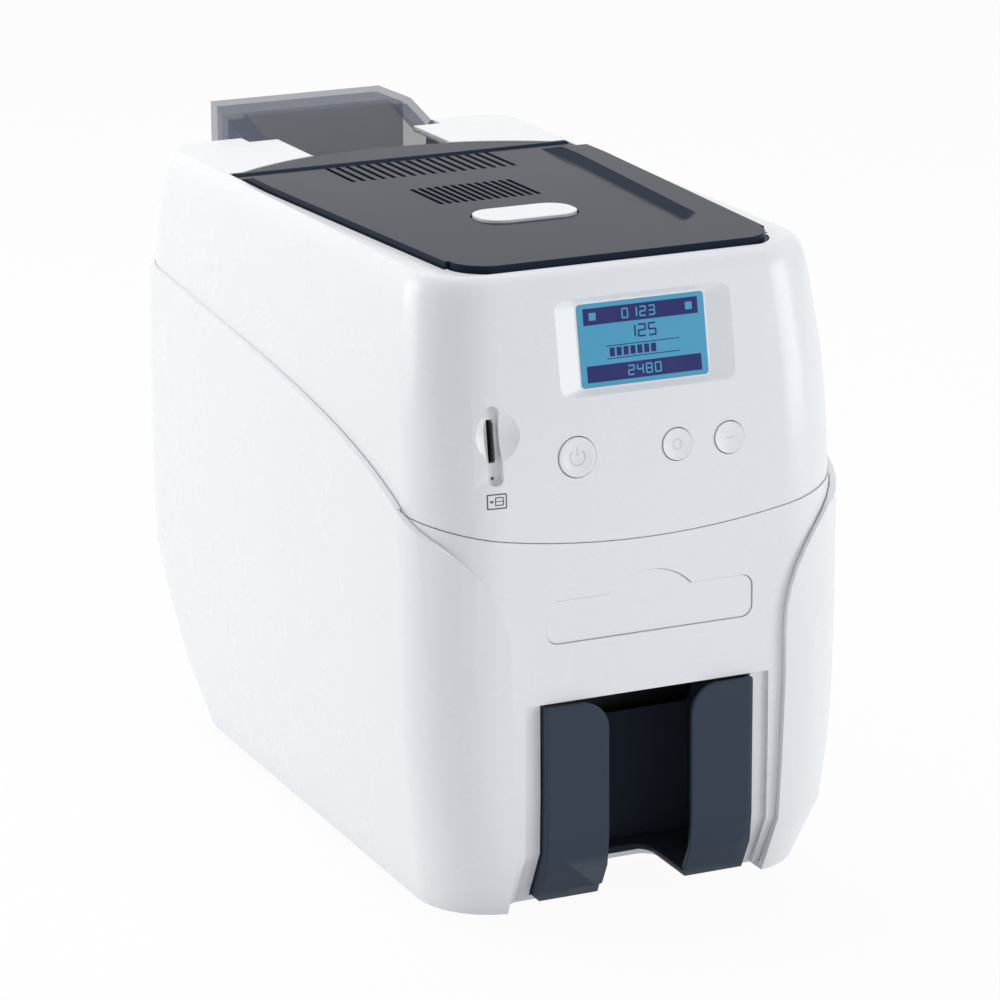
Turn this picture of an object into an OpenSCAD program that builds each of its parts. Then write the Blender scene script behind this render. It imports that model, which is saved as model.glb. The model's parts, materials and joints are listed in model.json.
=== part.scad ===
// Desktop card printer: a tall white moulded body with a smoked top cover,
// a smoked card hopper at the rear top and a smoked card tray at the front.
// Millimetres. +Z is up, the front faces -Y, the origin is the centre of the
// footprint on the table.

/* [Body] */
// Width across the two side panels
body_w = 191; // [184:1:200]
// Depth of the body without the rear overhang of the hopper
body_d = 338; // [334:1:350]
// How far the input hopper stands out behind the body
hopper_out = 36; // [32:1:40]
// Height of the top deck above the table, at the origin
deck_z = 262.8; // [261:0.5:266]
// Slope of the deck down to the rear, in degrees
deck_tilt = 0.9; // [0.6:0.1:1.2]
// Wall thickness of the moulded panels
wall = 2.6; // [2.2:0.1:3]
// How far the side panels stand proud of the housing
proud = 3; // [2.9:0.1:3.4]
// Height of the rubber feet
foot_h = 3; // [3:0.5:4]

/* [Cover] */
// Half width of the top cover at its front
cover_front = 69; // [66:0.5:70]
// Half width of the top cover at its hinge
cover_rear = 79; // [77:0.5:80]
// Length of the top cover
cover_l = 222; // [216:1:224]
// Height of the rail round the cover above its panel
rail_h = 3.2; // [2.4:0.2:4]
// Length of the release button
press_l = 44; // [38:1:48]
// Width of the release button
press_w = 24; // [20:1:26]
// Travel of the release button
press_travel = 2.5; // [1.5:0.5:3]

/* [Cards] */
// Long side of a card
card_l = 85.6; // [85.6:0.1:86]
// Short side of a card
card_s = 54; // [53.9:0.1:54.2]
// Height of the card track above the table
track_z = 130; // [128:0.5:131]
// Clearance of a card in a hopper, over both sides
card_gap = 1.4; // [1:0.1:1.8]
// Wall thickness of the hoppers
hop_t = 2.3; // [2:0.1:2.5]

/* [Controls] */
// Diameter of the power button
power_d = 16; // [14:0.5:17]
// Diameter of the two small buttons
key_d = 12.8; // [11:0.1:14]
// Width of the display window
lcd_w = 55.6; // [50:0.1:57]
// Height of the display window along the face
lcd_h = 33; // [28:0.5:34]
// Sideways place of the display centre
lcd_x = 3; // [0:0.5:5]

/* [Drive] */
// Radius of the driven rollers
roll_r = 8; // [7.5:0.1:8.4]
// Radius of the pinch rollers
pinch_r = 6; // [5:0.1:6.4]
// Outside x of the frame plates
frame_x = 60; // [59:0.5:61]
// Radius of the belt pulleys
pulley_r = 7; // [6:0.1:7.2]
// Tooth size of the ribbon gears
gear_m = 0.8; // [0.7:0.05:0.8]

/* [Hidden] */

$fn = 48;
white = "#f1f1ee";
smoke = "#4b4d52";
steel = "#b9bcc0";
dark = "#26272a";

overall_d = body_d + hopper_out;
front_y = -overall_d / 2;
rear_y = front_y + body_d;
hw = body_w / 2;
in_hw = hw - proud;
in_front = front_y + proud;
in_rear = rear_y - proud;
base_z = foot_h;
seam_z = 157.5;          // housing seam at the middle of the front
seam_r = 344;            // radius of that seam
hinge_y = front_y + 26 + cover_l;
hinge_z = deck_h(hinge_y) - 3;
rod_z = track_z - roll_r;
head_y = 0;
turn_y = -90;
turn_z = track_z + 0.4;
spool_z = track_z + 44;
arm_z = track_z + 24;
supply_y = 42;
takeup_y = -44;
power_x = -30;
key_x = [13.6, 36.6];
chip_x = -65;

function deck_h(y) = deck_z - y * tan(deck_tilt);
// Top edge of a side panel, s is the distance from the front
function seam_side(s) = 188 + 0.068 * s - 34 * exp(-s / 55);
// Tooth outline of a gear: root, flank and tip points round the circle
function gear_pts(n, m) = let (r = n * m / 2, p = 360 / n)
  [for (i = [0 : n - 1], q = [[-0.27, -1.15], [-0.12, 0.85], [0.12, 0.85], [0.27, -1.15]])
    (r + q[1] * m) * [cos((i + q[0]) * p), sin((i + q[0]) * p)]];

// Levels of the two body forms: height, half width, front, rear, corner radii
outer_levels = [
  [base_z, hw - 12, front_y + 13, rear_y - 40, 32, 24],
  [30, hw - 5.6, front_y + 0.8, rear_y - 26, 33, 26],
  [56, hw - 2.3, front_y, rear_y - 12, 33, 28],
  [80, hw - 0.7, front_y, rear_y - 0.8, 33, 28],
  [113, hw, front_y, rear_y, 33, 28],
  [186, hw, front_y, rear_y, 33, 28],
  [216, hw - 1.1, front_y, rear_y, 33, 28]];
upper_levels = [
  [146, in_hw, in_front, in_rear, 31, 25],
  [165, in_hw, in_front + 0.2, in_rear, 31, 25],
  [185, in_hw, in_front + 1.6, in_rear, 31, 25],
  [205, in_hw - 0.3, in_front + 4, in_rear - 0.2, 31, 25],
  [221, in_hw - 1.2, in_front + 6.8, in_rear - 0.8, 30, 25],
  [235, in_hw - 2.7, in_front + 9.4, in_rear - 2, 30, 24]];
deck_levels = [
  [-14, in_hw - 4.6, in_front + 12.7, in_rear - 4, 29, 23],
  [-7.5, in_hw - 5.8, in_front + 14.4, in_rear - 5.4, 28, 22],
  [-3.6, in_hw - 7.2, in_front + 16.2, in_rear - 7, 27, 21],
  [-1.2, in_hw - 9, in_front + 18.4, in_rear - 9.4, 25, 19],
  [0, in_hw - 10.8, in_front + 20.8, in_rear - 12, 22, 16]];
// The housing's front face at height z
function face_y(z) = lookup(z, [for (l = upper_levels) [l[0], l[2]]]);

// Rounded outline of one level, drawn in by t, as points round the body
function corner(x, y, r, q, z, n = 8) = [for (i = [0 : n]) let (a = q + 90 * i / n) [x + r * cos(a), y + r * sin(a), z]];
function ring(l, t, up = 0) = let (f = l[4], r = l[5], z = l[0] + up) concat(
  corner(l[1] - f, l[2] + f, f - t, -90, z), corner(l[1] - r, l[3] - r, r - t, 0, z),
  corner(r - l[1], l[3] - r, r - t, 90, z), corner(f - l[1], l[2] + f, f - t, 180, z));
function plan_ring(w, h, r, z) = concat(corner(w / 2 - r, r - h / 2, r, -90, z), corner(w / 2 - r, h / 2 - r, r, 0, z),
  corner(r - w / 2, h / 2 - r, r, 90, z), corner(r - w / 2, r - h / 2, r, 180, z));
function tilted(pts, z) = [for (p = pts) [p.x, p.y * cos(deck_tilt) + p.z * sin(deck_tilt),
  z + p.z * cos(deck_tilt) - p.y * sin(deck_tilt)]];
// Skin over a stack of outlines with the same number of points
module loft(rings) {
  m = len(rings[0]);
  k = len(rings);
  polyhedron([for (r = rings, p = r) p], concat([[for (i = [0 : m - 1]) i]],
    [[for (i = [m - 1 : -1 : 0]) (k - 1) * m + i]],
    [for (j = [0 : k - 2], i = [0 : m - 1]) let (n = (i + 1) % m) [j * m + i, j * m + m + i, j * m + m + n]],
    [for (j = [0 : k - 2], i = [0 : m - 1]) let (n = (i + 1) % m) [j * m + i, j * m + m + n, j * m + n]]));
}
module outer_form(t, lift = 0, up = 0)
  loft([for (l = outer_levels) ring(l, t, l[0] == base_z ? lift : l[0] > 200 ? up : 0)]);
module upper_form(t) loft(concat([for (l = upper_levels) ring(l, t, l[0] < 150 ? -t : 0)],
  [for (l = deck_levels) tilted(ring(l, t), deck_z - t)]));
// Everything below the sloping top edge of the side panels
module below_side(drop = 0) rotate([90, 0, 90]) translate([0, 0, -hw - 5]) linear_extrude(body_w + 10)
  polygon(concat([for (s = [-4 : 12 : body_d + 8]) [front_y + s, seam_side(s) - drop]],
    [[rear_y + 10, -5], [front_y - 5, -5]]));
// The front opening between the two side panels
module front_gap(w = 0) translate([0, front_y - 5, 0]) rotate([90, 0, 0]) mirror([0, 0, 1])
  linear_extrude(40) polygon(concat(
    [[-57 - w, -5], [57 + w, -5], [60.3 + w, 90], [60.3 + w, 112]],
    [for (a = [8 : 8 : 48]) [60.3 + w + 60 * (1 - cos(a)), 112 + 60 * sin(a)]],
    [[87 + w, 163.3], [94 + w, 171.6], [108, 190], [-108, 190], [-94 - w, 171.6], [-87 - w, 163.3]],
    [for (a = [48 : -8 : 8]) [-60.3 - w - 60 * (1 - cos(a)), 112 + 60 * sin(a)]],
    [[-60.3 - w, 112], [-60.3 - w, 90]]));
// A shaft along X
module rod(x0, x1, y, z, r) translate([x0, y, z]) rotate([0, 90, 0]) cylinder(r = r, h = x1 - x0);
module box3(x0, x1, y0, y1, z0, z1) translate([x0, y0, z0]) cube([x1 - x0, y1 - y0, z1 - z0]);
module on_face(x, z, lean, y) translate([x, y, z]) rotate([-lean, 0, 0]) children();
module round_plate(w, h, r, t) rotate([90, 0, 0]) translate([0, 0, -t])
  linear_extrude(t) round_rect(w, h, r);
module round_rect(w, h, r) {
  square([w - 2 * r, h], center = true);
  square([w, h - 2 * r], center = true);
  for (sx = [-1, 1], sy = [-1, 1]) translate([sx * (w / 2 - r), sy * (h / 2 - r)]) circle(r);
}
module slot2(l, w) { square([l - w, w], center = true);
  for (s = [-1, 1]) translate([s * (l - w) / 2, 0]) circle(d = w); }

// ---------- enclosure ----------
panel_in = 66;   // half width of the rear opening between the side panels
pan_w = 66;      // half width of the base pan
module side_panel() difference() {
  intersection() {
    difference() { outer_form(0); outer_form(wall, wall, 2); }
    below_side();
    box3(20, hw + 5, front_y - 5, rear_y + 5, -5, 230);
  }
  front_gap();
  box3(-1, panel_in, rear_y - 60, rear_y + 5, -1, 230);
  box3(-1, pan_w + 0.4, front_y + 23.6, rear_y, -1, 20);
  box3(-1, 57, front_y - 1, front_y + 30, -1, 20);
  // screw holes into the base flange
  for (y = [-120, 0, 80]) translate([74, y, -1]) cylinder(d = 3.4, h = 12);
}
module right_side_panel() color(white) side_panel();
module left_side_panel() color(white) mirror([1, 0, 0]) side_panel();

module base_pan() color("#8d9094") difference() {
  union() {
    box3(-pan_w, pan_w, front_y + 24, rear_y - 48, base_z, base_z + 2);
    // upturned rear and side edges
    box3(-pan_w, pan_w, rear_y - 50, rear_y - 48, base_z, base_z + 14);
    for (s = [-1, 1]) box3(s * 65 - 1, s * 65 + 1, -100, rear_y - 48, base_z, base_z + 12);
    // stiffening beads pressed along the floor
    for (x = [-36, -12, 12, 36]) box3(x - 3, x + 3, -90, 60, base_z + 2, base_z + 3.2);
  }
  for (sx = [-1, 1], y = [-150, 88]) translate([sx * 52, y, -1]) cylinder(d = 4, h = 20);
  for (i = [0 : 7]) box3(-30, 30, 68 + i * 4, 70 + i * 4, -1, 9);
  // cut back under the finger recess of the tray
  translate([0, front_y + 24, -1]) linear_extrude(10) round_rect(52, 56, 8);
}
module rubber_feet() color("#2b2b2b") for (sx = [-1, 1], y = [-150, 88])
  translate([sx * 52, y, 0]) rotate_extrude() polygon([[0, 0], [6, 0], [7.5, 1.2], [7.5, base_z], [1.9, base_z],
    [1.9, base_z + 2], [3, base_z + 2.2], [1.5, base_z + 4], [0, base_z + 4]]);

bay_w = 54;      // half width of the tray bay
bay_z = 93.6;    // its top edge
slot_z = 126.8;  // middle of the blanked card slot
module arch() union() {
  translate([1, slot_z]) round_rect(91, 18, 5);
  intersection() { translate([1, slot_z - 7.5]) circle(r = 24.4); translate([-29, slot_z]) square([60, 20]); }
}
module front_panel() color(white) union() {
  difference() {
    intersection() {
      difference() { outer_form(proud, 3); outer_form(proud + 2.4, 2, 2); }
      box3(-hw, hw, front_y - 1, front_y + 34, base_z + 2, 200);
    }
    // the seam under the housing
    translate([0, front_y - 5, seam_z + seam_r - 0.4]) rotate([-90, 0, 0]) cylinder(r = seam_r, h = 60, $fn = 180);
    box3(-bay_w, bay_w, front_y - 1, front_y + 40, -1, bay_z);
    // the blanked card slot with its thumb arch
    translate([0, front_y + 30, 0]) rotate([90, 0, 0]) linear_extrude(60) arch();
    // relief behind the edges of the side panels
    for (s = [-1, 1]) box3(s * 82 - 14, s * 82 + 14, front_y + 26, front_y + 40, -1, 120);
  }
  // bay walls
  intersection() {
    outer_form(proud + 2.3, 3);
    for (s = [-1, 1]) box3(s * (bay_w + 1) - 1, s * (bay_w + 1) + 1, front_y, -128, base_z + 2, bay_z + 2);
  }
  box3(-bay_w, bay_w, in_front + 2.3, in_front + 16, bay_z, bay_z + 2);
  // flanks beside the tray
  intersection() {
    difference() { outer_form(proud + 2.2, 3); outer_form(proud + 4.4, 2, 2); }
    for (s = [-1, 1]) box3(s * 50.8 - 4.2, s * 50.8 + 4.2, front_y, -128, base_z + 2, bay_z + 1);
  }
  // frame behind the slot plate
  difference() {
    box3(-52, 54, in_front + 2.3, in_front + 5, 110, 150);
    translate([0, front_y + 30, 0]) rotate([90, 0, 0]) linear_extrude(60)
      translate([1, slot_z]) round_rect(80, 8, 3);
    translate([1, front_y + 3, slot_z - 7.5]) rotate([-90, 0, 0]) cylinder(r = 19, h = 20);
  }
}
module feed_slot_cover() color(white)
  translate([0, in_front + 0.6, 0]) rotate([90, 0, 0]) mirror([0, 0, 1]) linear_extrude(1.6) {
    translate([1, slot_z]) round_rect(90.4, 17.4, 4.7);
    intersection() { translate([1, slot_z - 7.5]) circle(r = 24.1); translate([-29, slot_z]) square([60, 20]); }
  }

module rear_panel() color(white) difference() {
  intersection() {
    difference() { outer_form(proud, 3); outer_form(proud + 2.4, 2, 2); }
    box3(-hw, hw, 92, rear_y + 1, base_z + 16, 204.4);
  }
  for (s = [-1, 1]) box3(s * 96 - 18, s * 96 + 18, 80, rear_y + 5, -1, 220);
  box3(-46.2, 46.2, 100, rear_y + 5, track_z - 6, 240);
  // fan grille: rings of slots
  for (a = [0 : 30 : 330]) translate([38, rear_y + 5, 103]) rotate([90, a, 0]) translate([12, 0, 0])
    linear_extrude(20) slot2(12, 2.4);
  // sockets: network, data and power inlet
  box3(-30, -14, 130, rear_y + 5, 96, 110);
  box3(-8, 4.2, 130, rear_y + 5, 96, 107.2);
  translate([-57, rear_y + 5, 103]) rotate([90, 0, 0]) cylinder(d = 9, h = 20);
  box3(-48.6, -35.4, 130, rear_y + 5, 93.4, 112.6);
  for (x = [-58, 58]) translate([x, rear_y, 128]) rotate([90, 0, 0]) cylinder(d = 3.2, h = 12);
  // cooling slots over the slanted foot
  for (i = [0 : 9]) translate([-36 + i * 8, 100, 30]) cube([3, 60, 26]);
}

module cover_plan(w = 0) intersection() {
  // the sides widen towards the hinge
  polygon([[-cover_front - 0.8 - w, front_y + 25 - w], [cover_front + 0.8 + w, front_y + 25 - w],
    [cover_rear + w, hinge_y - 40], [cover_rear + w, hinge_y + 30], [-cover_rear - w, hinge_y + 30],
    [-cover_rear - w, hinge_y - 40]]);
  union() {
    translate([0, front_y + 24 + 60 - w]) union() {
      for (s = [-1, 1]) translate([s * (cover_front - 17), -43]) circle(r = 17 + w, $fn = 64);
      square([2 * cover_front - 34, 120 + 2 * w - 0.1], center = true);
      translate([-100, -43]) square([200, 300]);
    }
  }
}
// Rounded tongue of the cover behind its hinge
tongue_r = 125;
module tongue(w) intersection() {
  translate([0, hinge_y + 27 - tongue_r]) circle(r = tongue_r + w, $fn = 160);
  translate([-72 - w, hinge_y - 12]) square([144 + 2 * w, 60]);
}
module upper_housing() color(white) difference() {
  union() {
    difference() { upper_form(0); upper_form(2.5); }
    // ledge under the edge of the cover
    intersection() {
      upper_form(1);
      deck() translate([0, 0, -8]) linear_extrude(3.4) difference() { translate([0, -2]) cover_plan(4); cover_plan(-5.5); }
      box3(-hw, hw, -220, hinge_y - 20, 200, 300);
    }
    // boss behind the card slit
    intersection() {
      upper_form(1.2);
      on_face(chip_x, 205, 8.4, face_y(205) + 0.2) translate([-8, 1.5, -22]) cube([16, 6.5, 38]);
    }
    // ears and pins that carry the cover
    for (s = [-1, 1]) {
      box3(s * 81.7 - 1.7, s * 81.7 + 1.7, hinge_y - 4.5, hinge_y + 4.5, hinge_z - 7, hinge_z + 0.6);
      rod(s * 74.5 - 7.5, s * 74.5 + 7.5, hinge_y, hinge_z, 1.5);
    }
    // walls of the hopper well
    intersection() {
      upper_form(1);
      union() {
        for (s = [-1, 1]) box3(s * 47.6 - 1.2, s * 47.6 + 1.2, 89.4, rear_y, 205, 280);
        box3(-48.8, 48.8, 89.4, 91.6, 205, 280);
        box3(-48.8, 48.8, 89.4, 104, 232, 234.2);
      }
    }
    // display frame behind the window
    on_face(lcd_x, 235, 10.6, face_y(235)) translate([0, 1.6, 0]) round_plate(lcd_w + 27, lcd_h + 9, 4, 4.6);
  }
  // lower edge: the front seam and the side line
  difference() {
    box3(-hw - 5, hw + 5, front_y - 5, rear_y + 5, 100, 230);
    translate([0, front_y - 5, seam_z + seam_r]) rotate([-90, 0, 0]) cylinder(r = seam_r, h = overall_d, $fn = 180);
  }
  below_side(6);
  // opening for the cover
  deck() translate([0, 0, -4.6]) linear_extrude(20) intersection() {
    cover_plan(0.6); translate([-100, -300]) square([200, 300 + hinge_y + 4.2]); }
  deck() translate([0, 0, -20]) linear_extrude(40) intersection() {
    cover_plan(-5.5); translate([-100, -300]) square([200, 300 + hinge_y + 4.2]); }
  deck() translate([0, 0, -20]) linear_extrude(40) tongue(0.8);
  // hopper notch, narrow in front and wide where the hopper stands
  translate([0, 0, 180]) linear_extrude(110) {
    translate([-46.4, 126]) square([92.8, rear_y - 120]);
    translate([0, 118]) round_rect(66, 76, 7);
  }
  // display window and its bevelled recess
  on_face(lcd_x, 235, 10.6, face_y(235)) {
    rotate([90, 0, 0]) loft([plan_ring(lcd_w + 1.6, lcd_h + 1.2, 2, -3.02),
      plan_ring(lcd_w + 21, lcd_h + 6, 4.5, 0), plan_ring(lcd_w + 21, lcd_h + 6, 4.5, 6)]);
    translate([0, 0, 0]) round_plate(lcd_w, lcd_h, 1.5, 12);
  }
  // button holes
  on_face(power_x, 193, 6.8, face_y(193)) { turn90() cylinder(d = power_d + 0.8, h = 20); }
  on_face(key_x[0], 193, 6.8, face_y(193)) { turn90() cylinder(d = key_d + 0.8, h = 20); }
  on_face(key_x[1], 193, 6.8, face_y(193)) { turn90() cylinder(d = key_d + 0.8, h = 20); }
  // finger dish, groove and slit for the chip card, with its pinhole
  on_face(chip_x, 205, 8.4, face_y(205) + 0.2) {
    translate([0, -18, 0]) sphere(r = 21, $fn = 96);
    translate([-1.3, -5, -10.6]) cube([2.6, 20, 17]);
    translate([0, -1, -3.8]) round_plate(6.2, 31.5, 3.05, 5);
    translate([0, 0, -16.7]) turn90() cylinder(d = 1.6, h = 24);
  }
}
module turn90() translate([0, -10, 0]) rotate([-90, 0, 0]) children();
module deck() translate([0, 0, deck_z]) rotate([-deck_tilt, 0, 0]) children();

// ---------- top cover ----------
module vents(y, n, pitch, l) for (i = [0 : n - 1])
  translate([(i - (n - 1) / 2) * pitch, y]) rotate(90) slot2(l, 2.1);
panel_w = 57.5;   // half width of the sunk panel at its front
panel_y = front_y + 65;
panel_r = 16;
panel_fall = 4;   // width of the chamfer round it
function panel_ring(t, z) = let (w = panel_w + cover_rear - cover_front - 1 - t, r = panel_r - t) concat(
  corner(panel_w - panel_r, panel_y + panel_r, r, -90, z), [[w, hinge_y - 40, z], [w, hinge_y - 1, z],
  [-w, hinge_y - 1, z], [-w, hinge_y - 40, z]], corner(panel_r - panel_w, panel_y + panel_r, r, 180, z));
module top_cover() color(smoke) difference() {
  union() {
    // flat panel with its raised rail on three sides
    deck() translate([0, 0, -3.9]) linear_extrude(3.6) intersection() {
      cover_plan(0); union() { translate([-100, -300]) square([200, 300 + hinge_y - 1]); tongue(0); } }
    deck() difference() {
      translate([0, 0, -0.35]) linear_extrude(rail_h) intersection() {
        cover_plan(-0.6); translate([-100, -300]) square([200, 300 + hinge_y - 8]); }
      // the rail falls to the panel in a chamfer
      loft([panel_ring(panel_fall, -0.36), panel_ring(-0.6, rail_h + 0.15)]);
      // chamfered ends of the rail
      translate([-100, hinge_y - 22, rail_h - 0.35]) rotate([-13, 0, 0]) cube([200, 40, 20]);
    }
    // hinge barrel along the rear edge
    rod(-cover_rear + 0.4, cover_rear - 0.4, hinge_y, hinge_z, 3.6);
    // stiffening ribs under the panel
    for (s = [-1, 1]) deck() box3(s * 56 - 1, s * 56 + 1, -140, 40, -9, -3.8);
    deck() box3(-56, 56, -141, -139, -9, -3.8);
    deck() box3(-56, 56, 11, 13, -9, -3.8);
    // latch ears
    for (s = [-1, 1]) deck() difference() {
      box3(s * 27 - 1.5, s * 27 + 1.5, -90, -74, -17, -3.8);
      translate([0, -82, -12]) rotate([0, 90, 0]) cylinder(r = 1.57, h = 80, center = true);
    }
  }
  rod(-cover_rear - 1, cover_rear + 1, hinge_y, hinge_z, 1.55);
  deck() translate([0, 0, -10]) linear_extrude(20) {
    vents(41, 17, 4.7, 32);
    vents(-17, 13, 3.7, 34);
    translate([0, -67]) round_rect(press_l + 1.6, press_w + 1.6, 11);
  }
}
module screw(l) { cylinder(r = 2.7, h = 1.6); translate([0, 0, 1.5]) cylinder(r = 1.45, h = l); }
module screws() color(steel) {
  for (s = [-1, 1], y = [-120, 0, 80]) translate([s * 74, y, base_z - 1.6]) screw(9);
  for (y = [-64, 104], z = [32, 144]) translate([-71.6, y, z]) rotate([0, 90, 0]) screw(8);
  for (x = [-58, 58]) translate([x, in_rear + 1.6, 128]) rotate([90, 0, 0]) screw(8);
}
module release_button() color(white) deck() {
  translate([0, -67, -4.4]) linear_extrude(5.2) round_rect(press_l, press_w, 10.4);
  translate([0, -67, -6.6]) linear_extrude(2.3) round_rect(press_l + 5, press_w + 5, 12);
  // push pad over the latch lever
  box3(-6, 6, -74, -64, -11, -6.5);
}
hook_l = 46;      // how far the hooks reach below the deck
module cover_latch() color(dark) deck() {
  translate([-30, -82, -12]) rotate([0, 90, 0]) cylinder(r = 1.5, h = 60);
  translate([-24, -85, -15.5]) cube([48, 6, 5]);
  // lever under the button
  translate([-20, -80, -14.6]) cube([40, 14, 2]);
  for (s = [-1, 1]) {
    translate([s * 16 - 3, -96.5, -hook_l]) cube([6, 3, hook_l - 10.5]);
    translate([s * 16 - 3, -96.5, -hook_l]) cube([6, 5.4, 3]);
    translate([s * 16 - 3, -96.5, -14]) cube([6, 14, 3]);
  }
}

// ---------- front controls ----------
module display_window() color("#2f7fb5") on_face(lcd_x, 235, 10.6, face_y(235))
  translate([0, 3, 0]) round_plate(lcd_w - 0.2, lcd_h - 0.2, 1.4, 1.6);
module control_board() color("#1f6b3a") {
  on_face(lcd_x, 196, 6.8, face_y(196)) difference() {
    translate([0, 11.4, 18]) round_plate(104, 74, 2, 1.6);
    for (s = [-1, 1], t = [-16, 50]) translate([s * 48, 8, t]) rotate([-90, 0, 0]) cylinder(d = 3, h = 6);
  }
  // display cell in its tray
  on_face(lcd_x, 235, 10.6, face_y(235)) {
    translate([0, 6.4, 0]) round_plate(lcd_w + 8, lcd_h + 4, 1, 4);
    translate([0, 4.8, 0]) round_plate(lcd_w - 2, lcd_h - 2, 1, 1.7);
  }
  // tactile switches behind the three buttons
  for (x = [power_x, key_x[0], key_x[1]]) on_face(x, 193, 6.8, face_y(193)) translate([-3, 8, -3]) cube([6, 3.8, 6]);
  // plug for the ribbon cable
  on_face(lcd_x, 184, 6.8, face_y(184)) translate([-14, 12.4, -4]) cube([28, 5, 6]);
}
module push_button(x, d) on_face(x, 193, 6.8, face_y(193)) difference() {
  union() {
    translate([0, -0.7, 0]) rotate([-90, 0, 0]) cylinder(d = d, h = 4.6);
    translate([0, 3, 0]) rotate([-90, 0, 0]) cylinder(d = d + 3.4, h = 1.4);
    translate([0, 4, 0]) rotate([-90, 0, 0]) cylinder(d = 5, h = 2.7);
  }
  // shallow dish on the cap
  translate([0, -40.1, 0]) sphere(r = 40, $fn = 96);
}
module power_button() color(white) push_button(power_x, power_d);
module left_key_button() color(white) push_button(key_x[0], key_d);
module right_key_button() color(white) push_button(key_x[1], key_d);
module chip_card() color("#24262b") on_face(chip_x, 205, 8.4, face_y(205) + 0.2)
  translate([-0.4, 1.4, -9.6]) cube([0.8, 25, 15]);
module chip_socket() color(dark) on_face(chip_x, 205, 8.4, face_y(205) + 0.2) difference() {
  translate([-4, 8, -13.1]) cube([8, 21, 22]);
  translate([-0.7, 7, -10.1]) cube([1.4, 20, 16]);
}

// ---------- hoppers ----------
hop_in = card_l + card_gap;        // inside width
hop_w = (hop_in + 2 * hop_t) / 2;  // half the outside width
module output_hopper() color(smoke) translate([0, front_y + 0.4, 0]) difference() {
  rotate([90, 0, 90]) translate([0, 0, -hop_w]) linear_extrude(2 * hop_w)
    polygon([[0, 92.6], [0, 34], [1.4, 22], [8.6, 8], [58.5, 8], [58.5, 62], [40, 92.6]]);
  rotate([90, 0, 90]) translate([0, 0, -hop_in / 2]) linear_extrude(hop_in)
    polygon([[hop_t, 120], [hop_t, 34], [3.6, 23], [10.2, 10.3], [56.2, 10.3], [56.2, 120]]);
  // finger gap between the two front wings, cut on into the floor
  translate([0, -1, 0]) rotate([-90, 0, 0]) linear_extrude(12) mirror([0, 1]) {
    translate([-18.4, -1]) square([36.8, 96]);
    difference() {
      translate([-30.4, 80.6]) square([60.8, 14]);
      for (s = [-1, 1]) translate([s * 30.4, 80.6]) circle(r = 12);
    }
  }
  translate([0, 20, 6]) linear_extrude(6) round_rect(39, 51, 8);
}
well_y = 126.6;                     // front of the input hopper's walls
// Overhang behind the body: plan and side profile of one skin
module overhang(t, low) intersection() {
  rotate([90, 0, 90]) translate([0, 0, -60]) linear_extrude(120)
    polygon([[161 - t, 200 - low], [161 - t, 266.5 - t], [overall_d / 2 - t, 267.6 - t], [overall_d / 2 - t, 214 - low]]);
  translate([0, 0, 150]) linear_extrude(130) polygon([[t - hop_w, 161 - t], [hop_w - t, 161 - t],
    [hop_w - 4.2 - t, overall_d / 2 - t], [t + 4.2 - hop_w, overall_d / 2 - t]]);
}
module input_hopper() color(smoke) union() {
  // side walls, their tops falling towards the front
  for (s = [-1, 1]) translate([s * (hop_in + hop_t) / 2 - hop_t / 2, 0, 0]) rotate([90, 0, 90]) linear_extrude(hop_t)
    polygon([[well_y, track_z + 0.02], [well_y, 252], [131, 259.6], [158.4, 266.4], [162, 266.5], [162, track_z + 0.02]]);
  // rear wall
  box3(-hop_in / 2 - 0.1, hop_in / 2 + 0.1, 160, 162, track_z + 0.02, 266);
  difference() { overhang(0, 0); overhang(2.2, 20); }
  // turned-in flanges along the tops of the side walls
  for (s = [-1, 1]) translate([s * (hop_in / 2 - 3.9) - 4, 0, 0]) rotate([90, 0, 90]) linear_extrude(8)
    polygon([[131, 257.2], [131, 259.6], [158.4, 266.4], [162, 266.5], [162, 264], [158.4, 264]]);
  // ledges that carry the cards
  for (s = [-1, 1]) box3(s * (hop_in / 2 - 4) - 4.2, s * (hop_in / 2 - 4) + 4.2, well_y, 162, track_z + 0.02, track_z + 2.2);
}
module hopper_seat() color(dark) difference() {
  union() {
    for (s = [-1, 1]) {
      box3(s * 48 - 1, s * 48 + 1, 104, 130, track_z - 10, 203);
      box3(s * 53 - 5, s * 53 + 5, 106, 130, track_z - 10, track_z - 8);
      box3(s * 41 - 6.2, s * 41 + 6.2, 108, 130, track_z - 2, track_z);
      box3(s * 41 - 6.2, s * 41 + 6.2, 106, 126, track_z - 1, track_z + 2.2);
    }
    box3(-48, 48, 106, 108, track_z - 10, track_z);
    // front wall of the card stack, over the exit gap
    box3(-48, 48, 104, 106, track_z + 6, 203);
    box3(-46, 46, 104, 106, 202.9, 231.8);
  }
  rod(-70, 70, 122, rod_z, 4.6);
  rod(-30, 30, 122, rod_z, 15);
}

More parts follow.
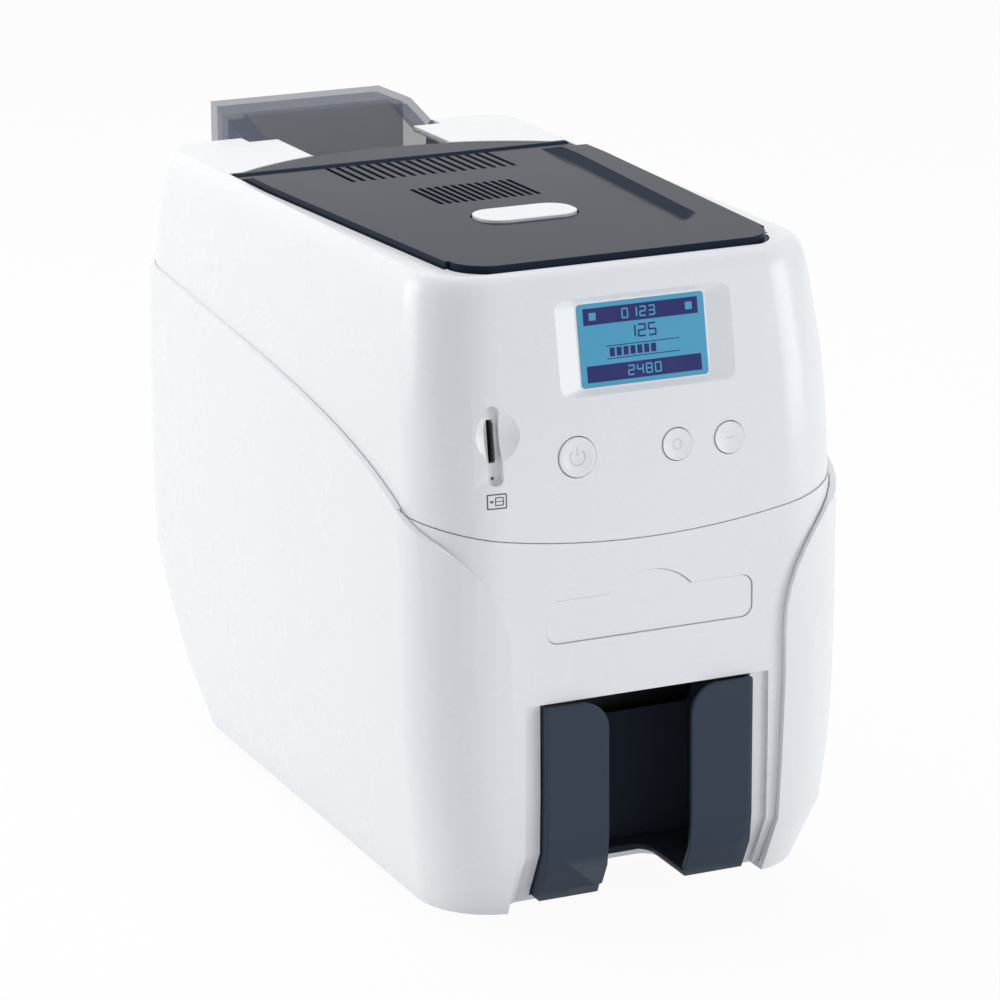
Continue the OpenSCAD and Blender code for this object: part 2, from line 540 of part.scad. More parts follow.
// ---------- frame ----------
rollers_y = [122, 86, 45, 0, -42];  // pick, feed, entry, platen, exit
module frame_outline() polygon([[-124, base_z + 2], [96, base_z + 2], [106, 40], [130, 92], [130, 200], [100, 216],
  [60, 222], [-60, 222], [-80, 231], [-96, 231], [-114, 214], [-122, 170], [-124, 100]]);
module frame_plate(x) difference() {
  union() {
    translate([x, 0, 0]) rotate([90, 0, 90]) linear_extrude(2) frame_outline();
    box3(x > 0 ? x - 8 : x, x > 0 ? x + 2 : x + 10, -118, 78, base_z + 2, base_z + 3.6);
  }
  for (y = rollers_y) rod(x - 1, x + 3, y, rod_z, 3.06);
  rod(x - 1, x + 3, turn_y, turn_z, 5.06);
  if (x > 0) rod(x - 1, x + 3, takeup_y, spool_z, 5.06);
  rod(x - 1, x + 3, 66, arm_z, 2.56);
  rod(x - 1, x + 3, 16, cam_z, 3.06);
  rod(x - 1, x + 3, 86, track_z + 8.1, 2.06);
  rod(x - 1, x + 3, 45, track_z + 7.2, 2.06);
  rod(x - 1, x + 3, -42, track_z + 7.2, 2.06);
  // lightening windows
  translate([x - 1, 0, 0]) rotate([90, 0, 90]) linear_extrude(4) {
    for (y = [-92, -52, 8, 48]) translate([y, 56]) round_rect(33, 35, 9);
  }
}
module left_frame_plate() color(steel) frame_plate(-frame_x);
module right_frame_plate() color(steel) frame_plate(frame_x - 2);
bars = [[-112, 22], [84, 18], [116, track_z - 26], [-108, track_z + 56], [90, track_z + 71], [-64, track_z - 30]];
cam_z = track_z + 51;
module cross_bars() color(steel) {
  for (b = bars) rod(-frame_x + 2, frame_x - 2, b.x, b.y, 3);
  // bar that the cover's hooks close on
  rod(-frame_x + 2, frame_x - 2, -88.6, 224, 2.4);
}
module track_guides() color(dark) difference() {
  union() {
    // chute and back wall of the tray bay, against the frame plates
    box3(-59.8, 59.8, -125.8, -124.1, base_z + 2.3, 95);
    rotate([90, 0, 90]) translate([0, 0, -57.6]) linear_extrude(115.2)
      polygon([[-125.8, 94], [-124.1, 94], [-124.1, 95], [-119.6, 99.6], [-120.6, 101], [-125.8, 96]]);
    for (s = [-1, 1]) {
      box3(s * 50 - 8, s * 50 + 8, -58, 103, track_z - 3, track_z);
      box3(s * 50.5 - 7.5, s * 50.5 + 7.5, -58, 103, track_z - 0.1, track_z + 2.2);
    }
    for (y = [66, 22, -22]) box3(-44, 44, y - 7, y + 7, track_z - 3, track_z - 0.4);
    for (y = [66, 22, -22], x = [-36 : 12 : 36]) box3(x - 0.8, x + 0.8, y - 7, y + 7, track_z - 0.5, track_z);
  }
  for (s = [-1, 1]) box3(s * 43 - 1, s * 43 + 1 , -60, 105, track_z, track_z + 4);
  for (y = rollers_y) rod(-47, 47, y, rod_z, roll_r + 3.2);
  for (y = rollers_y) rod(-70, 70, y, rod_z, 5.6);
  for (b = [[86, 8.1], [45, 7.2], [-42, 7.2]]) rod(-60, 60, b.x, track_z + b.y, 7.6);
}

// ---------- rollers ----------
module shaft(y, r_end) union() {
  rod(-frame_x - 2, frame_x + 9, y, rod_z, 3);
  rod(-44.5, 44.5, y, rod_z, r_end);
  rod(frame_x + 1.4, frame_x + 2.2, y, rod_z, pulley_r + 2);
  rod(frame_x + 2.2, frame_x + 8, y, rod_z, pulley_r);
  rod(frame_x + 8, frame_x + 8.8, y, rod_z, pulley_r + 2);
}
module rubber(y, r, core) for (x = [-32, 0, 32]) difference() {
  rod(x - 9, x + 9, y, rod_z, r);
  rod(x - 10, x + 10, y, rod_z, core);
}
module pick_shaft() color(steel) shaft(122, 4);
module pick_rubber() color(dark) for (x = [-15, 15]) difference() {
  rod(x - 8, x + 8, 122, rod_z, roll_r + 2.2);
  rod(x - 10, x + 10, 122, rod_z, 4);
}
module feed_shaft() color(steel) shaft(86, 5);
module feed_rubber() color(dark) rubber(86, roll_r, 5);
module entry_shaft() color(steel) shaft(45, 5);
module entry_rubber() color(dark) rubber(45, roll_r, 5);
module platen_shaft() color(steel) shaft(head_y, 5);
module platen_rubber() color(dark) difference() {
  rod(-44, 44, head_y, rod_z, roll_r);
  rod(-45, 45, head_y, rod_z, 5);
}
module exit_shaft() color(steel) shaft(-42, 5);
module exit_rubber() color(dark) rubber(-42, roll_r, 5);
module cleaning_roller() color("#3f7fc0") {
  rod(-frame_x - 2, frame_x + 2, 86, track_z + 8.1, 2);
  rod(-42, 42, 86, track_z + 8.1, 7);
}
module pinch(y) { rod(-frame_x - 2, frame_x + 2, y, track_z + 7.2, 2);
  for (x = [-32, 0, 32]) rod(x - 10, x + 10, y, track_z + 7.2, pinch_r); }
module entry_pinch() color("#6b6e73") pinch(45);
module exit_pinch() color("#6b6e73") pinch(-42);

// ---------- card turner ----------
module turner_cage() color("#5a5d62") translate([0, turn_y, turn_z]) difference() {
  union() {
    for (s = [-1, 1]) {
      translate([s * 50 - 1.5, 0, 0]) rotate([0, 90, 0]) cylinder(r = 27, h = 3);
      translate([s * 56 - 6, 0, 0]) rotate([0, 90, 0]) cylinder(r = 5, h = 12);
    }
    // card guides above and below the card
    for (t = [-1, 1]) box3(-49, 49, -25, 25, t * 3.2 - 1, t * 3.2 + 1);
  }
  translate([-34, -9, -11]) cube([68, 18, 10]);
  translate([-60, -28, -1.6]) cube([120, 23, 3.2]);
  translate([-60, 5, -1.6]) cube([120, 23, 3.2]);
  translate([-70, 0, -6.6]) rotate([0, 90, 0]) cylinder(r = 2.06, h = 140);
  for (a = [60, 120, 240, 300]) rotate([a, 0, 0]) translate([-60, 17, 0]) rotate([0, 90, 0]) cylinder(r = 4, h = 120);
}
module turner_roller() color(dark) translate([0, turn_y, turn_z - 6.6]) {
  rotate([0, 90, 0]) translate([0, 0, -53]) cylinder(r = 2, h = 106);
  for (x = [-20, 20]) translate([x - 8, 0, 0]) rotate([0, 90, 0]) cylinder(r = 5.6, h = 16);
}

// ---------- print head ----------
module print_head() color("#8a8d91") translate([0, head_y, track_z]) {
  // ceramic edge, finned heat sink
  box3(-46, 46, -5, 6, 4, 8);
  box3(-44, 44, -1, 1, 3, 4.1);
  box3(-46, 46, -8, 9, 7.9, 12);
  for (i = [0 : 5]) box3(-46, 46, -8 + i * 3, -6.6 + i * 3, 11.9, 22);
}
module head_arm() color(steel) {
  translate([0, 0, track_z]) {
    for (s = [-1, 1]) {
      translate([s * 54 - 1, 0, 0]) rotate([90, 0, 90]) linear_extrude(2)
        polygon([[-9, 13], [10, 11], [58, 19], [70, 19], [71, 30], [58, 32], [20, 35], [-9, 26]]);
    }
    box3(-54, 54, head_y - 8, head_y + 9, 22, 24);
    for (s = [-1, 1]) box3(s * 30 - 3, s * 30 + 3, head_y - 8, head_y + 9, 23.5, 27);
  }
  rod(-frame_x - 1, frame_x + 1, 66, arm_z, 2.5);
}
module head_cam() color("#d9d9d6") {
  rod(-frame_x - 3, frame_x + 9, 16, cam_z, 3);
  for (s = [-1, 1]) rod(s * 54 - 2, s * 54 + 2, 16, cam_z - 6, 10);
  rod(frame_x + 3, frame_x + 6, 16, cam_z, 8);
}

// ---------- ribbon ----------
module ribbon_cassette() color("#33363b") difference() {
  translate([0, 0, spool_z]) {
    for (s = [-1, 1]) translate([s * 50.6 - 1, 0, 0]) rotate([90, 0, 90]) linear_extrude(2)
      polygon([[-66, -6], [-60, -20], [-30, -20], [-18, -6], [18, 2], [26, -20], [58, -20], [64, -6],
        [64, 16], [52, 24], [-54, 24], [-66, 16]]);
    for (y = [-62, 60]) box3(-50, 50, y - 1.2, y + 1.2, 12, 20);
    box3(-50, 50, -22, -12, 21, 23);
    box3(-50, 50, 18, 28, 21, 23);
    // carrying handle
    for (s = [-1, 1]) box3(s * 24 - 2, s * 24 + 2, -20, 26, 22, 24);
  }
  for (y = [supply_y, takeup_y]) rod(-60, 60, y, spool_z, 5.4);
  box3(-60, 60, 11, 21, track_z + 20, cam_z + 5);
}
module spool(y, r) {
  rod(-47, 47, y, spool_z, 8);
  rod(-44.6, 44.6, y, spool_z, r);
  for (s = [-1, 1]) rod(s * 46 - 0.9, s * 46 + 0.9, y, spool_z, 17);
  rod(-56.4, -47, y, spool_z, 5);
  rod(47, 56.4, y, spool_z, 5);
}
module supply_spool() color("#2d5ea8") spool(supply_y, 15.5);
module takeup_spool() color("#33363b") difference() {
  spool(takeup_y, 10.5);
  rod(52, 60, takeup_y, spool_z, 2.5);
}
gear_big = 42;
gear_small = 14;
gear_a = 200;     // direction from the hub to the pinion
gear_c = (gear_big + gear_small) / 2 * gear_m;
pin_y = takeup_y + gear_c * cos(gear_a);
pin_z = spool_z + gear_c * sin(gear_a);
module takeup_hub() color("#d9d9d6") {
  translate([frame_x + 1.4, takeup_y, spool_z]) rotate([90, 0, 90]) linear_extrude(5)
    polygon(gear_pts(gear_big, gear_m));
  rod(56.4, frame_x + 9, takeup_y, spool_z, 4.98);
  rod(52.2, 56.5, takeup_y, spool_z, 2.3);
}
film = [[supply_y - 16.4, spool_z - 4], [15, track_z + 16], [9, track_z + 3.2], [1.4, track_z + 2.2],
  [-1.4, track_z + 2.2], [-9, track_z + 3.2], [-15, track_z + 16], [takeup_y + 11.6, spool_z - 1]];
module ribbon_film() color("#b8352b") rotate([90, 0, 90]) translate([0, 0, -42]) linear_extrude(84)
  polygon(concat(film, [for (i = [len(film) - 1 : -1 : 0]) film[i] + [0.05, 0.3]]));
module ribbon_motor() color("#7b7f85") {
  rod(frame_x + 10.6, frame_x + 27, pin_y, pin_z, 12);
  rod(frame_x + 9.9, frame_x + 10.7, pin_y, pin_z, 3.5);
}
module ribbon_pinion() color("#c9a24a") {
  translate([frame_x + 1.4, pin_y, pin_z]) rotate([90, 0, 90]) linear_extrude(5)
    rotate(gear_a + 180 + 180 / gear_small + gear_a * gear_big / gear_small)
    polygon(gear_pts(gear_small, gear_m));
  rod(frame_x + 6.3, frame_x + 9.8, pin_y, pin_z, 1.5);
}

// ---------- drive ----------
motor_y = 28;
motor_z = track_z - 46;
module drive_bracket() color(steel) difference() {
  union() {
    translate([frame_x + 9.2, 0, 0]) rotate([90, 0, 90]) linear_extrude(1.4)
      translate([0, track_z]) polygon([[-82, 58], [-82, 20], [-56, -20], [-56, -46], [0, -68], [132, -68], [132, 4], [0, 4],
        [-30, 20], [-30, 58]]);
    for (b = [[-76, 54], [124, -58], [10, -60], [-50, -38]]) rod(frame_x, frame_x + 9.3, b.x, track_z + b.y, 3);
  }
  for (y = rollers_y) rod(frame_x + 7, frame_x + 12, y, rod_z, 9.6);
  rod(frame_x + 7, frame_x + 12, takeup_y, spool_z, 5.3);
  rod(frame_x + 7, frame_x + 12, pin_y, pin_z, 3.7);
  rod(frame_x + 7, frame_x + 12, motor_y, motor_z, 9.4);
}
module feed_motor() color("#55585d") {
  difference() {
    translate([frame_x + 10.7, motor_y, motor_z]) rotate([90, 0, 90]) linear_extrude(17) round_rect(35, 35, 4);
    for (s = [-1, 1], t = [-1, 1]) rod(frame_x + 10, frame_x + 14, motor_y + s * 13, motor_z + t * 13, 1.5);
  }
}
module motor_pulley() color("#c9a24a") {
  rod(frame_x + 2.2, frame_x + 8, motor_y, motor_z, pulley_r);
  rod(frame_x + 1.4, frame_x + 2.2, motor_y, motor_z, pulley_r + 2);
  rod(frame_x + 8, frame_x + 8.8, motor_y, motor_z, pulley_r + 2);
  rod(frame_x + 8.7, frame_x + 10.4, motor_y, motor_z, 2.5);
}
// closed belt loop round the end pulleys and the motor pulley
module belt_line(r) hull() {
  for (p = [[122, rod_z], [-42, rod_z], [motor_y, motor_z]]) translate(p) circle(r, $fn = 32);
}
module feed_belt() color("#1d1d1f") translate([frame_x + 2.6, 0, 0]) rotate([90, 0, 90])
  linear_extrude(5) difference() { belt_line(pulley_r + 1.6); belt_line(pulley_r + 0.25); }

// ---------- electronics ----------
module main_board() color("#1f6b3a") {
  difference() {
    box3(-70, -68.4, -70, 110, 26, 150);
    for (y = [-64, 104], z = [32, 144]) rod(-72, -66, y, z, 1.6);
  }
  for (y = [-64, 104], z = [32, 144]) difference() {
    rod(-68.4, -frame_x, y, z, 3);
    rod(-69, -frame_x + 1, y, z, 1.5);
  }
  for (c = [[-40, 90, 16], [-10, 96, 22], [30, 70, 14], [60, 110, 12], [0, 50, 12]])
    box3(-72.2, -69.9, c.x - c[2] / 2, c.x + c[2] / 2, c.y - c[2] / 2, c.y + c[2] / 2);
  for (y = [74, 86, 98]) rod(-80, -69.9, y, 60, 4.5);
  box3(-76, -69.9, -66, -60, 50, 110);
}
module cooling_fan() color(dark) translate([38, in_rear - 3.4, 103]) rotate([90, 0, 0]) difference() {
  linear_extrude(10) round_rect(40, 40, 3);
  difference() {
    translate([0, 0, -1]) cylinder(r = 18.6, h = 12);
    translate([0, 0, 8.6]) cylinder(r = 9, h = 1.4);
    for (a = [0, 120, 240]) rotate(a) translate([-1, 0, 8.6]) cube([2, 20, 1.4]);
  }
  for (s = [-1, 1], t = [-1, 1]) translate([s * 16, t * 16, -1]) cylinder(d = 3.4, h = 12);
}
module fan_impeller() color("#1d1d1f") translate([38, in_rear - 3.4, 103]) rotate([90, 0, 0]) {
  translate([0, 0, 0.6]) cylinder(r = 8.5, h = 7.6);
  for (a = [0 : 360 / 7 : 359]) rotate(a) translate([8, -0.5, 1]) rotate([32, 0, 0]) cube([9.6, 1, 7]);
}
module power_switch() color("#202022") translate([-42, in_rear - 3, 103]) {
  rotate([0, 90, 0]) translate([0, 0, -4.6]) cylinder(r = 2, h = 9.2);
  rotate([90, 0, 90]) translate([0, 0, -4.6]) linear_extrude(9.2)
    polygon([[-1.6, -7.4], [1, -7.6], [2.6, 0], [4.6, 7.4], [2, 7.6], [-1.6, 2]]);
}
module io_sockets() color(dark) {
  difference() {
    union() {
      box3(-50, 10, 131.4, 133, 92, 114);
      box3(-29.8, -14.2, 132.9, in_rear + 0.6, 96.2, 109.8);
      box3(-7.8, 4, 132.9, in_rear + 0.6, 96.2, 107);
      box3(-48.4, -35.6, 132.9, in_rear + 0.8, 93.6, 112.4);
    }
    box3(-28, -16, 136, in_rear + 2, 98, 106);
    box3(-24.5, -19.5, 136, in_rear + 2, 105, 108.6);
    box3(-6, 2.2, 138, in_rear + 2, 98, 105.4);
    box3(-46.9, -37.1, in_rear - 9, in_rear + 2, 94.4, 111.7);
  }
  // direct current inlet
  difference() {
    union() { translate([-57, in_rear + 0.6, 103]) rotate([90, 0, 0]) cylinder(d = 8.8, h = 14);
      box3(-57, -49.5, in_rear - 13.2, in_rear - 11, 99, 107); box3(-51, -49.5, 131.4, in_rear - 11, 99, 107); }
    translate([-57, in_rear + 1, 103]) rotate([90, 0, 0]) cylinder(d = 6.2, h = 11);
  }
  translate([-57, in_rear - 0.4, 103]) rotate([90, 0, 0]) cylinder(d = 2, h = 12);
}

base_pan();
rubber_feet();
left_side_panel();
right_side_panel();
front_panel();
feed_slot_cover();
rear_panel();
upper_housing();
top_cover();
screws();
release_button();
cover_latch();
display_window();
control_board();
io_sockets();
power_button();
left_key_button();
right_key_button();
chip_card();
chip_socket();
output_hopper();
input_hopper();
hopper_seat();
left_frame_plate();
right_frame_plate();
cross_bars();
track_guides();
pick_shaft();
pick_rubber();
feed_shaft();
feed_rubber();
entry_shaft();
entry_rubber();
platen_shaft();
platen_rubber();
exit_shaft();
exit_rubber();
cleaning_roller();
entry_pinch();
exit_pinch();
turner_cage();
turner_roller();
print_head();
head_arm();
head_cam();
ribbon_cassette();
supply_spool();
takeup_spool();
takeup_hub();
ribbon_film();
ribbon_motor();
ribbon_pinion();
drive_bracket();
feed_motor();
motor_pulley();
feed_belt();
main_board();
cooling_fan();
fan_impeller();
power_switch();
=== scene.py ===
# Looks of a desktop card printer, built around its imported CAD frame.
# Metres, +Z up, the front faces -Y. The file follows the printer as it is put together.
import json
import math

import bmesh
import bpy
from mathutils import Euler, Matrix, Vector
from mathutils.bvhtree import BVHTree

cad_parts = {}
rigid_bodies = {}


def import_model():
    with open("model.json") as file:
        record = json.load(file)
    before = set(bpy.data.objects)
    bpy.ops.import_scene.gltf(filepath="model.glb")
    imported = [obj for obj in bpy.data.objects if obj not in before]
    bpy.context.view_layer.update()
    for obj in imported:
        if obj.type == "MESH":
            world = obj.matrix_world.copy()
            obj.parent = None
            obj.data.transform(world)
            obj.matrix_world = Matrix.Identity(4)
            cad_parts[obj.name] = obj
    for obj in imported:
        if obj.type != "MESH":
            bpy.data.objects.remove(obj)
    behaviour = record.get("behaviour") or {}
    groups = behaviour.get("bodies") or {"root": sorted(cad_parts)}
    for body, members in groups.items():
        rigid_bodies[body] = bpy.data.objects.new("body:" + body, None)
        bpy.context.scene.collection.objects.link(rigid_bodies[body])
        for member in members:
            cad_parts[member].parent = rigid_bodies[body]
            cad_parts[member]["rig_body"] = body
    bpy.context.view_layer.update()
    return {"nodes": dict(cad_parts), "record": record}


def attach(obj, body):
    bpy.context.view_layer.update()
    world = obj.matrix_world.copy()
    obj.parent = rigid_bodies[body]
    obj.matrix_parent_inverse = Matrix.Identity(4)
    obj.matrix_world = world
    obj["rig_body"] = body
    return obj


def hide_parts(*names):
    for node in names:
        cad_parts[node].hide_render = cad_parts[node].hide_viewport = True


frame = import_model()
nodes = frame["nodes"]
scene = bpy.context.scene
scene.view_settings.view_transform = "Standard"

# ---- Camera ----
# A long lens a little above the printer, turned to its left front corner. Lens and place come
# from a camera fitted to the photograph's edges; the frame is square.
camera_place = Vector((-0.7496, -1.7114, 0.6816))
lens_mm = 162.0
heading, pitch, roll = math.radians(24.16), math.radians(16.66), math.radians(-0.37)
camera_data = bpy.data.cameras.new("camera")
camera_data.lens = lens_mm
camera_data.sensor_width = 36.0
camera_data.clip_end = 20.0
camera = bpy.data.objects.new("camera", camera_data)
aim = Euler((math.pi / 2 - pitch, 0.0, -heading)).to_matrix() @ Matrix.Rotation(roll, 3, "Z")
camera.matrix_world = Matrix.Translation(camera_place) @ aim.to_4x4()
scene.collection.objects.link(camera)
scene.camera = camera


def linear(hex_colour):
    """sRGB hex to the linear colour that the shader takes."""
    parts = [int(hex_colour[i:i + 2], 16) / 255 for i in (1, 3, 5)]
    return [p / 12.92 if p <= 0.04045 else ((p + 0.055) / 1.055) ** 2.4 for p in parts] + [1.0]


def add(tree, kind, settings=None, links=None):
    """Adds one node. settings are properties or input values, links are input: (node, output)."""
    made = tree.nodes.new(kind)
    for name, value in (settings or {}).items():
        if isinstance(name, int) or name in made.inputs:
            made.inputs[name].default_value = value
        else:
            setattr(made, name, value)
    for name, (source, output) in (links or {}).items():
        tree.links.new(source.outputs[output], made.inputs[name])
    return made


# ---- Table and backdrop ----
# A seamless paper sweep that curves up behind the printer. Most of what the camera sees of it
# is plain white; the small rest is lit paper, which takes the printer's soft shadow.
WHITE_SHARE = 0.94


def sweep_material(name):
    material = bpy.data.materials.new(name)
    material.use_nodes = True
    tree = material.node_tree
    tree.nodes.clear()
    rays = add(tree, "ShaderNodeLightPath")
    paper = add(tree, "ShaderNodeBsdfDiffuse", {"Color": linear("#f6f6f7")})
    white = add(tree, "ShaderNodeEmission", {"Color": (1, 1, 1, 1), "Strength": 1.0})
    seen = (rays, "Is Camera Ray")
    for kind in ("Is Glossy Ray", "Is Transmission Ray"):
        either = add(tree, "ShaderNodeMath", {"operation": "MAXIMUM"}, {0: seen, 1: (rays, kind)})
        seen = (either, 0)
    share = add(tree, "ShaderNodeMath", {"operation": "MULTIPLY", 1: WHITE_SHARE}, {0: seen})
    both = add(tree, "ShaderNodeMixShader", links={0: (share, 0), 1: (paper, 0), 2: (white, 0)})
    add(tree, "ShaderNodeOutputMaterial", links={"Surface": (both, 0)})
    material.cycles.emission_sampling = "NONE"
    return material


def keep(name, form, material):
    """Turns a bmesh into an object of that name, at the origin, with one material."""
    mesh = bpy.data.meshes.new(name)
    form.to_mesh(mesh)
    form.free()
    mesh.materials.append(material)
    made = bpy.data.objects.new(name, mesh)
    scene.collection.objects.link(made)
    return made


table_z, table_front, bend_y, bend_radius, wall_top, half_width = -0.0005, -4.0, 2.4, 0.8, 4.0, 5.0
bend = [math.radians(a) for a in range(10, 91, 10)]
profile = [(table_front, table_z), (bend_y, table_z)]
profile += [(bend_y + bend_radius * math.sin(a), table_z + bend_radius * (1 - math.cos(a)))
            for a in bend]
profile += [(bend_y + bend_radius, wall_top)]
sweep_form = bmesh.new()
rows = [[sweep_form.verts.new((x, y, z)) for x in (-half_width, half_width)] for y, z in profile]
for low, high in zip(rows, rows[1:]):
    sweep_form.faces.new((low[0], low[1], high[1], high[0]))
sweep = keep("sweep", sweep_form, sweep_material("white_sweep"))

# ---- Lamps ----
# Big soft boxes, as in a product shot: one over the printer, one behind it on the left and one
# of about the same strength in front on the right. A pale world fills in the rest.
world = bpy.data.worlds.new("studio")
scene.world = world
world.use_nodes = True
world.node_tree.nodes["Background"].inputs["Color"].default_value = linear("#eef1f8")
world.node_tree.nodes["Background"].inputs["Strength"].default_value = 0.52
printer_middle = Vector((0, 0, 0.12))
for name, place, size, watts in [
    ("top_box", (-0.1, 0.35, 1.5), 1.3, 9.5),
    ("left_box", (-1.5, 1.0, 0.6), 1.1, 12.0),
    ("front_box", (1.35, -1.3, 0.5), 0.9, 10.5),
]:
    lamp = bpy.data.lights.new(name, "AREA")
    lamp.size = size
    lamp.energy = watts
    stand = bpy.data.objects.new(name, lamp)
    stand.location = place
    stand.rotation_euler = (printer_middle - Vector(place)).to_track_quat("-Z", "Y").to_euler()
    scene.collection.objects.link(stand)

# ---- White shell ----
# Side panels, front, rear, upper housing and caps: injection moulded ABS from a polished mould,
# held by clips and screws. It is a neutral white, with a gloss that varies a little over the
# surface and softens the reflections of the lamps.
MM = 0.001
MERGE_MM = 0.002      # loose corners of the CAD triangles closer than this are one
FLAT_DEG = 0.4        # triangles that meet at less than this are one flat face
CREASE_DEG = 32.0     # from here on, an edge is a real crease
CRISP_DEG = 9.0       # the same, inside a crisp box


def finish(name, colour, rough, metal=0.0, ior=1.5):
    """A material with its shader, Object coordinates and output, ready for a pattern."""
    material = bpy.data.materials.new(name)
    material.use_nodes = True
    tree = material.node_tree
    tree.nodes.clear()
    shader = add(tree, "ShaderNodeBsdfPrincipled", {
        "Base Color": linear(colour), "Roughness": rough, "Metallic": metal, "IOR": ior})
    add(tree, "ShaderNodeOutputMaterial", links={"Surface": (shader, "BSDF")})
    place = add(tree, "ShaderNodeTexCoord")
    return material, tree, shader, place


def mottle(tree, shader, place, low, high, size_mm):
    """Lets the roughness drift between two values, in patches of size_mm."""
    noise = add(tree, "ShaderNodeTexNoise", {"Scale": 1 / (size_mm * MM), "Detail": 3.0},
                {"Vector": (place, "Object")})
    span = add(tree, "ShaderNodeMapRange",
               {"From Min": 0.3, "From Max": 0.7, "To Min": low, "To Max": high},
               {"Value": (noise, "Fac")})
    tree.links.new(span.outputs["Result"], shader.inputs["Roughness"])


def moulded(node, piece_name, material, bevel=0.0, crisp=()):
    """A copy of a CAD node as one closed smooth skin, with its true creases kept and a radius
    of bevel mm on them. Inside the boxes of crisp, in mm, shallower edges stay creases too."""
    source = nodes[node]
    form = bmesh.new()
    form.from_mesh(source.data)
    bmesh.ops.remove_doubles(form, verts=form.verts, dist=MERGE_MM * MM)
    bmesh.ops.dissolve_limit(form, angle_limit=math.radians(FLAT_DEG), verts=form.verts,
                             edges=form.edges)
    piece = keep(piece_name, form, material)
    mesh = piece.data
    mesh.shade_smooth()
    mesh.set_sharp_from_angle(angle=math.radians(CREASE_DEG))
    if crisp:
        form = bmesh.new()
        form.from_mesh(mesh)
        for edge in form.edges:
            middle = (edge.verts[0].co + edge.verts[1].co) / (2 * MM)
            if any(all(low[i] < middle[i] < high[i] for i in range(3)) for low, high in crisp):
                if edge.calc_face_angle(0.0) > math.radians(CRISP_DEG):
                    edge.smooth = False
        form.to_mesh(mesh)
        form.free()
    if bevel:
        edge = piece.modifiers.new("radius", "BEVEL")
        edge.width = bevel * MM
        edge.segments = 2
        edge.limit_method = "ANGLE"
        edge.angle_limit = math.radians(CREASE_DEG)
        edge.harden_normals = True
    weight = piece.modifiers.new("normals", "WEIGHTED_NORMAL")
    weight.keep_sharp = True
    weight.mode = "FACE_AREA_WITH_ANGLE"
    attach(piece, source["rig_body"])
    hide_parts(node)
    return piece


shell_rough, shell_drift = 0.27, 0.015
shell_abs, tree, shader, place = finish("white_moulded_abs", "#f4f5f6", shell_rough)
mottle(tree, shader, place, shell_rough - shell_drift, shell_rough + shell_drift, 30)
slot_of = {row["node"]: row["material_slot"] for row in frame["record"]["subparts"]}
for node, piece_name in [
    ("left_side_panel", "left_side_shell"), ("right_side_panel", "right_side_shell"),
    ("front_panel", "front_shell"), ("rear_panel", "rear_shell"),
    ("release_button", "release_cap"), ("power_button", "power_cap"),
    ("left_key_button", "left_key_cap"), ("right_key_button", "right_key_cap"),
]:
    moulded(node, piece_name, shell_abs, bevel=0.3)
moulded("feed_slot_cover", "slot_blank", shell_abs, bevel=0.12)
# The recess of the display and the dish of the card slit have soft but clear rims.
display_recess = ((-45, -200, 205), (51, -150, 263))
slit_dish = ((-80, -200, 190), (-52, -150, 220))
moulded("upper_housing", "housing_shell", shell_abs, crisp=[display_recess, slit_dish])

# ---- Marks on the shell ----
# Pad printed signs: a standby ring on the power cap, plain marks on the two small caps and a
# card with its chip under the slit. Each is a thin film of matt ink, laid on the surface by
# dropping its points onto it.
INK_MM = 0.03         # both the gap under the film and its thickness
RIBBON_STEP_MM = 0.8  # a ribbon is cut this fine, so that it follows a curved surface
START_Y = -0.3        # the points are dropped from here, in front of the printer
FRONT_Y = -0.18       # where a point goes that meets no surface


def ink(name, colour):
    material, tree, shader, place = finish(name, colour, 0.5)
    mottle(tree, shader, place, 0.45, 0.55, 4)
    return material


def stroke(form, points, width):
    """A flat ribbon of the given width along points (x, z) in mm."""
    for (x0, z0), (x1, z1) in zip(points, points[1:]):
        length = math.hypot(x1 - x0, z1 - z0)
        nx, nz = -(z1 - z0) / length * width / 2, (x1 - x0) / length * width / 2
        steps = max(1, int(length / RIBBON_STEP_MM))
        for i in range(steps):
            a, b = i / steps, (i + 1) / steps
            corners = [(x0 + (x1 - x0) * t + nx * q, z0 + (z1 - z0) * t + nz * q)
                       for t, q in ((a, -1), (b, -1), (b, 1), (a, 1))]
            form.faces.new([form.verts.new((x * MM, START_Y, z * MM)) for x, z in corners])


def arc(x, z, radius, start, end, step=12):
    turns = int(abs(end - start) / step)
    angles = [math.radians(start + (end - start) * i / turns) for i in range(turns + 1)]
    return [(x + radius * math.cos(a), z + radius * math.sin(a)) for a in angles]


def outline(left, low, right, high, overlap=0.2):
    """The sides of a box. The last runs a little past its corner, so that the corner closes."""
    return [(left, low), (right, low), (right, high), (left, high), (left, low - overlap)]


def printed(name, node, lines, material):
    """Lays the ribbons [(points, width)] just proud of the front of a CAD node, as a film."""
    form = bmesh.new()
    for points, width in lines:
        stroke(form, points, width)
    bmesh.ops.remove_doubles(form, verts=form.verts, dist=0.01 * MM)
    target = nodes[node]
    wall = BVHTree.FromPolygons([v.co[:] for v in target.data.vertices],
                                [p.vertices[:] for p in target.data.polygons])
    for vert in form.verts:
        hit = wall.ray_cast(vert.co, Vector((0, 1, 0)))[0]
        vert.co.y = (hit.y if hit else FRONT_Y) - INK_MM * MM
    bmesh.ops.recalc_face_normals(form, faces=form.faces)
    for face in form.faces:
        if face.normal.y > 0:
            face.normal_flip()
    skin = bmesh.ops.extrude_face_region(form, geom=form.faces[:])
    for vert in [g for g in skin["geom"] if isinstance(g, bmesh.types.BMVert)]:
        vert.co.y -= INK_MM * MM
    bmesh.ops.recalc_face_normals(form, faces=form.faces)
    piece = keep(name, form, material)
    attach(piece, target["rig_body"])
    return piece


